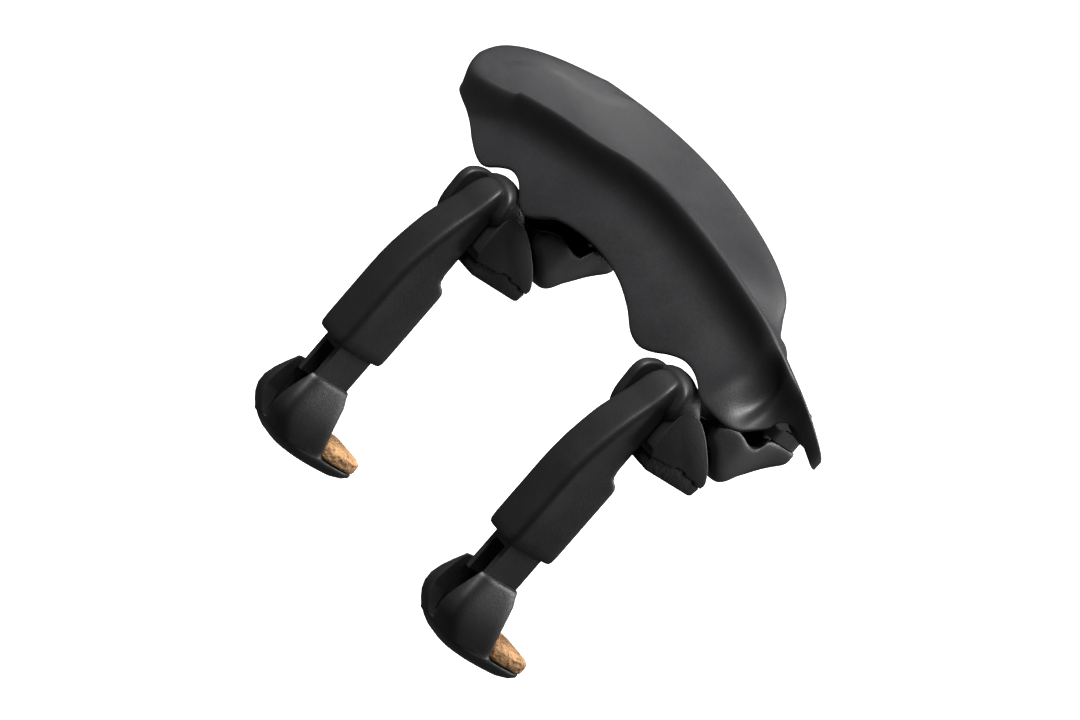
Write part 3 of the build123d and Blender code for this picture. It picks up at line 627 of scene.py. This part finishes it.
def build_lugs():
    """Two hinge lugs under the plate at each clamp, one each side of the lift frame's eye."""
    for side, cx in CLAMP_X.items():
        tops = [deck_height(cx + dx, HINGE_Y + dy) for dx in (-6, 6) for dy in (-LUG_R, LUG_R)]
        top = min(tops) - LUG_UNDER_DECK
        outline = [(HINGE_Y - LUG_R, top), (HINGE_Y - LUG_R, HINGE_Z)]
        outline += [
            (HINGE_Y - LUG_R * math.cos(a * math.pi / 12), HINGE_Z - LUG_R * math.sin(a * math.pi / 12))
            for a in range(1, 12)
        ]
        outline += [(HINGE_Y + LUG_R, HINGE_Z), (HINGE_Y + LUG_R, top)]
        places = {"inner": cx - HINGE_EYE_HALF - LUG_GAP - LUG_T, "outer": cx + HINGE_EYE_HALF + LUG_GAP}
        for place, x0 in places.items():
            prism(
                f"{side}_{place}_lug", outline, x0, x0 + LUG_T, "chin_plate", "plate_plastic", None, 0.3, 2
            )


def build_boss():
    """Boss under the plate that holds the thrust disc."""
    around = 48
    low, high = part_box("thrust_disc")
    disc_low, disc_high = low[2] / MM, high[2] / MM
    middle = (low[1] + high[1]) / 2 / MM
    levels = ((4.2, disc_low + 0.3), (4.5, disc_low + 0.6), (4.8, disc_high + 0.4), (5.4, disc_high + 1.6))
    rings = []
    for radius, z in levels:
        for a in range(around):
            turn = a * math.pi / 24
            rings.append((radius * math.cos(turn), middle + radius * math.sin(turn), z))
    boss = new_piece("thrust_boss", rings, ring_faces(len(levels), around), "chin_plate")
    dress(boss, "plate_plastic")


# ------------------------------------------------------------------ clamp legs
# height, front, back and half width of the leg's outside
LEG = [(-23.7, -6.55, 5.15, 3.2), (-23.5, -6.95, 5.6, 3.5), (-22.9, -7.25, 5.85, 3.66),
       (-21.5, -7.35, 5.95, 3.7), (-16, -7.35, 5.95, 3.7), (-10, -7.35, 5.95, 3.7),
       (-7.2, -7.25, 5.95, 3.7), (-6.3, -7.15, 5.8, 3.7), (-5.6, -7.05, 5.25, 3.7), (-5, -6.95, 4, 3.7),
       (-4.3, -6.85, 3.4, 3.7), (-3, -6.6, 3.05, 3.7), (0, -5.9, 2.95, 3.7), (3, -5.05, 2.95, 3.7),
       (6, -3.87, 2.95, 3.55), (9, -2.45, 2.95, 3.38), (9.7, -2.15, 3.1, 3.36), (10.1, -2, 3.6, 3.38),
       (10.5, -1.85, 4.6, 3.4), (11.2, -1.6, 5, 3.42), (12.4, -1.15, 5, 3.4), (13.6, -0.6, 4.8, 3.2),
       (14.6, 0.05, 4.5, 2.8), (15.3, 0.75, 4.1, 2.1), (15.6, 1.3, 3.7, 1.3)]
# half width, front, back and roof height of the pocket that the slider runs in
POCKET = (2.65, -4.75, 4.15, -7.0)
LEG_RIDGE_PROUD, LEG_RIDGE_BACK, LEG_RIDGE_WIDTH = 0.35, 1.6, 1.3


def build_leg(side):
    """Clamp leg: a soft-cornered barrel, open below, with a neck that leans back."""
    cx = CLAMP_X[side]
    half, y0, y1, roof = POCKET
    rings = [soft_box_ring(cx, half, y0, y1, z, 14) for z in (roof, -15.0, -23.3)]
    rings.append(soft_box_ring(cx, half + 0.15, y0 - 0.15, y1 + 0.15, -23.7, 10))
    for z, front, back, wide in LEG:
        rings.append(soft_box_ring(cx, wide, front, back, z, 8.0))
    verts = [v for ring in rings for v in ring]
    faces = ring_faces(len(rings), RING_POINTS)
    leg = new_piece(f"{side}_leg", verts, faces, "base", f"{side}_sleeve", 50)
    # soft ridge down the front corner on the +X side
    for vertex in leg.data.vertices:
        x, y, z = vertex.co / MM
        if z > -23.6 and x - cx > 2.2 and z < 14:
            front = ease_table([(row[0], row[1]) for row in LEG], z)
            near = math.exp(-(((y - front - LEG_RIDGE_BACK) / LEG_RIDGE_WIDTH) ** 2))
            vertex.co.x += LEG_RIDGE_PROUD * MM * near * ease((z + 23.6) / 3) * ease((14 - z) / 4)
    dress(leg, "leg_plastic")


# outlines in the YZ plane
SHOE_TOP = [(3.1, 11.0), (3.6, 12.0), (4.8, 12.85), (7.2, 12.6), (9.6, 11.7), (12.2, 10.2), (15.2, 8.1),
            (17.8, 6.0), (19.6, 4.0), (20.0, 3.0)]
SEAM_STEPS = [(19.7, 2.2), (17.6, 2.25), (17.3, 2.7), (14.2, 2.75), (13.8, 3.3), (11.2, 3.35), (10.7, 2.9),
              (4.2, 2.6)]
CHEEK = [(3.3, 4.4), (0.4, 4.0), (-1.6, 5.0), (-2.6, 7.2), (-2.9, 10.2), (-2.9, 12.6), (-1.9, 14.4),
         (0.8, 15.5), (3.3, 15.6)]
SHOE_HALF, PAD_HALF, CHEEK_INSIDE = 5.5, 5.25, 3.45
SEAM_GAP = 0.04


def build_shoe(side):
    """Upper shoe with its far cheek, and the pad that steps into its underside."""
    cx = CLAMP_X[side]
    top = [tuple(p) for p in through(SHOE_TOP, 40)]
    prism(
        f"{side}_shoe_block", top + SEAM_STEPS + [(3.1, 4.0)], cx - SHOE_HALF, cx + SHOE_HALF,
        "base", "leg_plastic", f"{side}_shoe", 0.9, 4,
    )
    prism(
        f"{side}_shoe_cheek", [tuple(p) for p in through(CHEEK, 30)], cx - SHOE_HALF, cx - CHEEK_INSIDE,
        "base", "leg_plastic", None, 0.5, 3,
    )
    steps = [(y, z - SEAM_GAP) for y, z in SEAM_STEPS[:-1]]
    sole = [(5.2, 0.25), (6.0, 0.0), (18.6, 0.0), (19.3, 0.3)] + steps + [(4.6, 2.5), (4.7, 1.2)]
    prism(
        f"{side}_shoe_sole", sole, cx - PAD_HALF, cx + PAD_HALF,
        "base", "pad_rubber", f"{side}_shoe_pad", 0.25, 2,
    )


# place along Y of the hood's sections, with its half widths, crown and foot heights
HOOD = [(1.35, 5.1, 5.1, 15.5, 11.0), (1.75, 5.35, 5.3, 16.3, 10.0), (2.8, 5.5, 5.45, 17.1, 8.0),
        (4.6, 5.5, 5.55, 17.3, 8.0), (6.6, 5.5, 5.55, 16.2, 8.0), (8.6, 5.45, 5.45, 13.5, 8.0),
        (10.4, 5.3, 5.3, 11.9, 8.0), (11.6, 5.0, 5.0, 10.6, 8.0)]


def build_hood(side):
    """Domed hood of the shoe, behind and over the leg's head."""
    cx = CLAMP_X[side]
    arch = 24
    verts = []
    for y, left, right, crown, foot in HOOD:
        verts.append((cx - left, y, foot))
        for i in range(arch + 1):
            angle = math.pi * i / arch
            across = -math.cos(angle)
            reach = left if across < 0 else right
            # the dome stands a little higher on the cheek's side
            tall = crown - foot
            height = tall * max(math.sin(angle), 0.0) ** 0.36 * (1 - 0.03 * (across + 0.3))
            verts.append((cx + across * reach, y, foot + height))
        verts.append((cx + right, y, foot))
    size = len(verts) // len(HOOD)
    faces = ring_faces(len(HOOD), size)
    hood = new_piece(f"{side}_shoe_hood", verts, faces, "base", None, 60)
    subdivide(hood)
    settle(hood, 60)
    dress(hood, "leg_plastic")


# place along Y, left and right edge from the spindle axis, underside, floor, left and right wall tops
TROUGH = [(11.7, -5.2, 5.2, 10.7, 12, 12.9, 12.8), (13, -5.4, 5.4, 9.8, 11.6, 13.4, 13.3),
          (16, -5.5, 5.5, 8.6, 10.4, 14.6, 14.4), (18.5, -5.5, 5.5, 6.1, 7.9, 15.2, 14.5),
          (20.5, -5.5, 5.5, 4.5, 6.3, 15.5, 13.8), (23, -5.5, 5.1, 4.1, 5.9, 15.55, 13.1),
          (25.5, -5.9, 4, 4.5, 6.3, 15.55, 12.9), (27.4, -6.3, 3.1, 5.4, 7.2, 15.55, 13),
          (28.6, -6.45, 2.6, 6.2, 15, 15.55, 13.4), (30.5, -6.5, 1.9, 6.9, 15.3, 15.55, 15),
          (33, -6.5, 1.5, 8.9, 15.4, 15.55, 15.5), (35.5, -6.5, 1.5, 10.8, 15.4, 15.55, 15.5),
          (37.3, -6.4, 1.4, 11.8, 15.4, 15.55, 15.5), (38.3, -6.1, 1.1, 12.5, 15.3, 15.5, 15.45)]


TROUGH_WALL, TROUGH_R = 1.7, 1.3


def build_carrier(side):
    """Bracket arm behind the shoe: a trough whose +X wall dips between its ends."""
    cx = CLAMP_X[side]
    wall, r = TROUGH_WALL, TROUGH_R
    verts = []
    for y, left, right, under, floor, top_left, top_right in TROUGH:
        x0, x1 = cx + left, cx + right
        top_right = max(top_right, floor + 0.1)
        outline = [
            (x0, top_left - 0.3), (x0, (top_left + under) / 2), (x0, under + r),
            (x0 + 0.4 * r, under + 0.35 * r), (x0 + r, under), ((x0 + x1) / 2, under - 0.15),
            (x1 - r, under), (x1 - 0.4 * r, under + 0.35 * r), (x1, under + r),
            (x1, (top_right + under) / 2), (x1, top_right - 0.3), (x1 - 0.3, top_right),
            (x1 - wall + 0.3, top_right), (x1 - wall, top_right - 0.3), (x1 - wall - 0.1, floor + 0.3),
            (x1 - wall - 0.6, floor), ((x0 + x1) / 2, floor), (x0 + wall + 0.6, floor),
            (x0 + wall + 0.1, floor + 0.3), (x0 + wall, top_left - 0.3), (x0 + wall - 0.3, top_left),
            (x0 + 0.3, top_left),
        ]
        verts += [(x, y, z) for x, z in outline]
    faces = ring_faces(len(TROUGH), len(verts) // len(TROUGH))
    carrier = new_piece(f"{side}_bracket_arm", verts, faces, "base", f"{side}_carrier", 60)
    subdivide(carrier, 2)
    settle(carrier, 60)
    dress(carrier, "leg_plastic")


# height, front, back, half width and plan squareness of the hooked foot
FOOT = [(-30.5, -5.9, 4.35, 3.7, 4.4), (-30.65, -6.2, 4.6, 4.0, 4.2), (-31.3, -6.5, 4.8, 4.25, 4.0),
        (-33, -7.1, 5.4, 4.7, 5.0), (-35, -7.8, 5.6, 5.2, 5.6), (-37, -8.25, 6.0, 5.5, 6.0),
        (-38.8, -8.1, 6.6, 5.6, 6.0), (-40.4, -7.4, 7.4, 5.55, 5.6), (-41.7, -6.4, 8.1, 5.45, 5.0),
        (-42.6, -5.6, 8.7, 5.3, 4.4), (-43.05, -5.4, 9.9, 5.25, 4.2), (-43.1, -5.35, 18.4, 5.2, 3.6),
        (-43.25, -5.2, 18.75, 5.25, 3.6), (-43.8, -4.4, 18.9, 5.2, 3.4), (-44.6, -2.9, 18.2, 4.8, 3.0),
        (-45.3, -0.6, 16.6, 3.9, 2.7), (-45.7, 2.4, 14.2, 2.6, 2.4)]


# half width, front, back, floor and top of the foot's pocket for the slider
FOOT_POCKET = (2.75, -4.85, 4.2, -41.6, -29.5)
# the key slot in the foot's front: height and half width, narrowing towards the keel
KEY_SLOT = ((-42.4, 0.6), (-40.5, 1.2), (-37.5, 1.8), (-33.5, 2.2), (-29.5, 2.4))
SLOT_FRONT, SLOT_BACK, SLOT_FLARE = -9.0, -2.0, 0.3


def build_foot(side):
    """Hooked foot: flared flanks round the slider, a key slot and a thin lip under the cork."""
    cx = CLAMP_X[side]
    around = 72
    rings = [soft_box_ring(cx, wide, front, back, z, power, around) for z, front, back, wide, power in FOOT]
    verts = [v for ring in rings for v in ring]
    faces = ring_faces(len(rings), around)
    body = f"{side}_foot"
    foot = new_piece(f"{side}_hook_foot", verts, faces, body, f"{side}_foot", 60)
    half, y0, y1, low, high = FOOT_POCKET
    pocket = [(cx - half, y0), (cx + half, y0), (cx + half, y1), (cx - half, y1)]
    cut(foot, [(x, y, z) for z in (low, high) for x, y in pocket], ring_faces(2, 4), 50)
    wedge = []
    for z, wide in KEY_SLOT:
        wedge += [(cx - wide - SLOT_FLARE, SLOT_FRONT, z), (cx + wide + SLOT_FLARE, SLOT_FRONT, z)]
        wedge += [(cx + wide, SLOT_BACK, z), (cx - wide, SLOT_BACK, z)]
    cut(foot, wedge, ring_faces(len(KEY_SLOT), 4), 50)
    bevel(foot, 0.22, 2, 45)
    settle(foot, 50)
    dress(foot, "leg_plastic")


# how far the cork starts before its solid's front and stops short of its back, and its pits' depth
CORK_FRONT, CORK_BACK, PIT_DEPTH = 1.8, 2.9, 0.22
PIT_SCALE = 1500  # noise cells per metre


def build_cork(side):
    """Cork block: slightly domed, with crumbled edges and pits."""
    cx = CLAMP_X[side]
    around = 96
    low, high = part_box(f"{side}_cork")
    z0, z1 = low[2] / MM, high[2] / MM
    y0, y1 = low[1] / MM - CORK_FRONT, high[1] / MM - CORK_BACK
    half = (high[0] - low[0]) / 2 / MM
    # height, and how far that level stands in from the widest one
    levels = [(z0, 0.35), (z0 + 0.3, 0.05), (z0 + 1.0, 0.0), (z0 + 1.7, 0.0), (z0 + 2.3, 0.05),
              (z1 - 0.6, 0.2), (z1 - 0.25, 0.55), (z1 - 0.05, 1.1), (z1, 2.4), (z1, 3.6)]
    rings = [soft_box_ring(cx, half - d, y0 + d, y1 - d, z, 5.5, around) for z, d in levels]
    verts = [v for ring in rings for v in ring]
    faces = ring_faces(len(rings), around)
    cork = new_piece(f"{side}_cork_block", verts, faces, f"{side}_foot", f"{side}_cork", 60)
    subdivide(cork)
    settle(cork, 60)
    middle = Vector((cx * MM, (y0 + y1) / 2 * MM, (z0 + z1) / 2 * MM))
    for vertex in cork.data.vertices:
        spot = vertex.co * PIT_SCALE
        pit = noise.noise(spot) * 0.5 + noise.noise(spot * 2.3) * 0.3
        inside = middle - vertex.co
        vertex.co += inside.normalized() * max(pit, 0) * PIT_DEPTH * MM
    dress(cork, "cork")


# ------------------------------------------------------------------ settings and operators
class ChinRestLooks(bpy.types.PropertyGroup):
    """Sizes and colours of the chin rest's finish."""

    plate_colour: FloatVectorProperty(
        name="Plate colour", description="Base colour of the moulded plate", subtype="COLOR", size=3,
        default=(0.018, 0.018, 0.0195), min=0.0, max=1.0,
    )
    plate_rough: FloatProperty(
        name="Plate roughness", description="Roughness of the plate's satin grain", subtype="FACTOR",
        default=0.44, min=0.0, max=1.0,
    )
    leg_colour: FloatVectorProperty(
        name="Leg colour", description="Base colour of the legs, shoes and feet", subtype="COLOR", size=3,
        default=(0.012, 0.012, 0.013), min=0.0, max=1.0,
    )
    leg_rough: FloatProperty(
        name="Leg roughness", description="Roughness of the legs, shoes and feet", subtype="FACTOR",
        default=0.46, min=0.0, max=1.0,
    )
    cork_colour: FloatVectorProperty(
        name="Cork colour", description="Middle tone of the cork", subtype="COLOR", size=3,
        default=(0.60, 0.33, 0.15), min=0.0, max=1.0,
    )
    camera_distance: FloatProperty(
        name="Camera distance", description="From the camera to the object", unit="LENGTH",
        default=1.2, min=0.3,
    )
    light_power: FloatProperty(
        name="Light power", description="Power of the key softbox", unit="POWER", default=13.0, min=0.0,
    )


class CHINREST_OT_plate(bpy.types.Operator):
    """Models the moulded plate with its lugs and boss"""

    bl_idname = "chinrest.plate"
    bl_label = "Chin plate"

    def execute(self, context):
        build_moulding()
        build_lugs()
        build_boss()
        return {"FINISHED"}


class CHINREST_OT_legs(bpy.types.Operator):
    """Models both clamp legs, shoes, pads and bracket arms"""

    bl_idname = "chinrest.legs"
    bl_label = "Clamp legs"

    def execute(self, context):
        for side in CLAMP_X:
            build_leg(side)
            build_shoe(side)
            build_hood(side)
            build_carrier(side)
        return {"FINISHED"}


class CHINREST_OT_feet(bpy.types.Operator):
    """Models both hooked feet and their cork blocks"""

    bl_idname = "chinrest.feet"
    bl_label = "Feet and corks"

    def execute(self, context):
        for side in CLAMP_X:
            build_foot(side)
            build_cork(side)
        return {"FINISHED"}


class CHINREST_OT_hardware(bpy.types.Operator):
    """Finishes the frame, sliders, screws, pins and nuts that keep their construction shape"""

    bl_idname = "chinrest.hardware"
    bl_label = "Frame and hardware"

    def execute(self, context):
        slots = {row["node"]: row["material_slot"] for row in frame["record"]["subparts"]}
        for name, node in frame["nodes"].items():
            dress(node, slots[name])
        return {"FINISHED"}


class CHINREST_OT_stage(bpy.types.Operator):
    """Sets up the pale floor, the studio light and the camera"""

    bl_idname = "chinrest.stage"
    bl_label = "Stage"

    def execute(self, context):
        build_stage(context.scene.chin_rest_looks)
        return {"FINISHED"}


def build_floor():
    """Pale floor that lights nothing, low enough that a foot at the end of its slide stays above it."""
    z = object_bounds()[0][2] - 0.006
    reach = 6.0
    corners = [(-reach, -reach, z), (reach, -reach, z), (reach, reach, z), (-reach, reach, z)]
    mesh = bpy.data.meshes.new("studio_floor")
    mesh.from_pydata(corners, [], [(0, 1, 2, 3)])
    floor = bpy.data.objects.new("studio_floor", mesh)
    bpy.context.scene.collection.objects.link(floor)
    material, tree, shader, place = base_material("pale_paper")
    tones = [(NOISE_LOW, (0.93, 0.93, 0.93)), (NOISE_HIGH, (0.96, 0.96, 0.96))]
    tone = ramp(tree, noise_node(tree, place, 30.0), tones)
    tree.links.new(tone, shader.inputs["Base Color"])
    shader.inputs["Roughness"].default_value = 0.95
    shader.inputs["Specular IOR Level"].default_value = 0.1
    shader.inputs["Emission Color"].default_value = (1, 1, 1, 1)
    shader.inputs["Emission Strength"].default_value = 0.9
    mesh.materials.append(material)
    floor.visible_glossy = False
    floor.visible_diffuse = False
    floor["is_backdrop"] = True


def build_surround():
    """Dim white world, shown with plain display colours."""
    world = bpy.data.worlds.new("white_surround")
    world.use_nodes = True
    world.node_tree.nodes["Background"].inputs["Color"].default_value = (1, 1, 1, 1)
    world.node_tree.nodes["Background"].inputs["Strength"].default_value = 0.1
    bpy.context.scene.world = world
    bpy.context.scene.view_settings.view_transform = "Standard"


# where the camera stands, how it is rolled to the product's slant, and what it aims at
AZIMUTH, RISE, ROLL = (math.radians(a) for a in (42.0, 8.3, -40.94))
AIM_RIGHT, AIM_DOWN = 0.00295, 0.00304
VIEW_WIDTH = 0.1875
SENSOR = 36.0


def build_camera(distance):
    """Long-lens camera; returns its direction to the right on the floor and its direction backwards."""
    across = Vector((math.cos(AZIMUTH), math.sin(AZIMUTH), 0))
    upward = Vector((-math.sin(AZIMUTH) * math.sin(RISE), math.cos(AZIMUTH) * math.sin(RISE), math.cos(RISE)))
    right = across * math.cos(ROLL) - upward * math.sin(ROLL)
    up = across * math.sin(ROLL) + upward * math.cos(ROLL)
    back = right.cross(up)
    camera = bpy.data.cameras.new("product_camera")
    camera.sensor_width = SENSOR
    camera.lens = SENSOR * distance / VIEW_WIDTH
    camera.clip_start = 0.05
    camera.clip_end = 50.0
    eye = bpy.data.objects.new("product_camera", camera)
    eye.matrix_world = Matrix((right, up, back)).transposed().to_4x4()
    eye.location = right * AIM_RIGHT - up * AIM_DOWN + back * distance
    bpy.context.scene.collection.objects.link(eye)
    bpy.context.scene.camera = eye
    return across, back


def softbox(name, place, aim, size, power):
    """A rectangular area light aimed at a point."""
    light = bpy.data.lights.new(name, "AREA")
    light.shape = "RECTANGLE"
    light.size, light.size_y = size
    light.energy = power
    lamp = bpy.data.objects.new(name, light)
    lamp.location = place
    lamp.rotation_euler = (Vector(aim) - Vector(place)).to_track_quat("-Z", "Y").to_euler()
    bpy.context.scene.collection.objects.link(lamp)


def build_stage(looks):
    """Floor, surround, camera and three softboxes, two of them placed from the camera's directions."""
    build_floor()
    build_surround()
    across, back = build_camera(looks.camera_distance)
    power = looks.light_power
    key = back * 0.34 - across * 0.22 + Vector((0, 0, 0.75))
    rim = back * -0.3 + across * 0.6 + Vector((0, 0, 0.35))
    softbox("overhead", (-0.1, 0.3, 0.8), (0, 0.02, 0), (0.5, 0.5), power * 0.3)
    softbox("key", key, (0, 0, 0), (0.28, 0.4), power)
    softbox("rim", rim, (0, 0, 0), (0.2, 0.5), power * 0.3)


class CHINREST_PT_panel(bpy.types.Panel):
    """Lists the chin rest's settings and steps"""

    bl_idname = "CHINREST_PT_panel"
    bl_label = "Chin rest"
    bl_space_type = "VIEW_3D"
    bl_region_type = "UI"
    bl_category = "Chin rest"

    def draw(self, context):
        looks = context.scene.chin_rest_looks
        for name in looks.bl_rna.properties.keys():
            if name not in ("rna_type", "name"):
                self.layout.prop(looks, name)
        for step in STEPS:
            self.layout.operator(step.bl_idname)


STEPS = (CHINREST_OT_hardware, CHINREST_OT_plate, CHINREST_OT_legs, CHINREST_OT_feet, CHINREST_OT_stage)
CLASSES = (ChinRestLooks, *STEPS, CHINREST_PT_panel)


def register():
    for cls in CLASSES:
        bpy.utils.register_class(cls)
    bpy.types.Scene.chin_rest_looks = PointerProperty(type=ChinRestLooks)


def unregister():
    del bpy.types.Scene.chin_rest_looks
    for cls in reversed(CLASSES):
        bpy.utils.unregister_class(cls)


def main():
    register()
    bpy.ops.chinrest.hardware()
    bpy.ops.chinrest.plate()
    bpy.ops.chinrest.legs()
    bpy.ops.chinrest.feet()
    bpy.ops.chinrest.stage()
    bpy.context.view_layer.update()


if __name__ == "__main__":
    main()
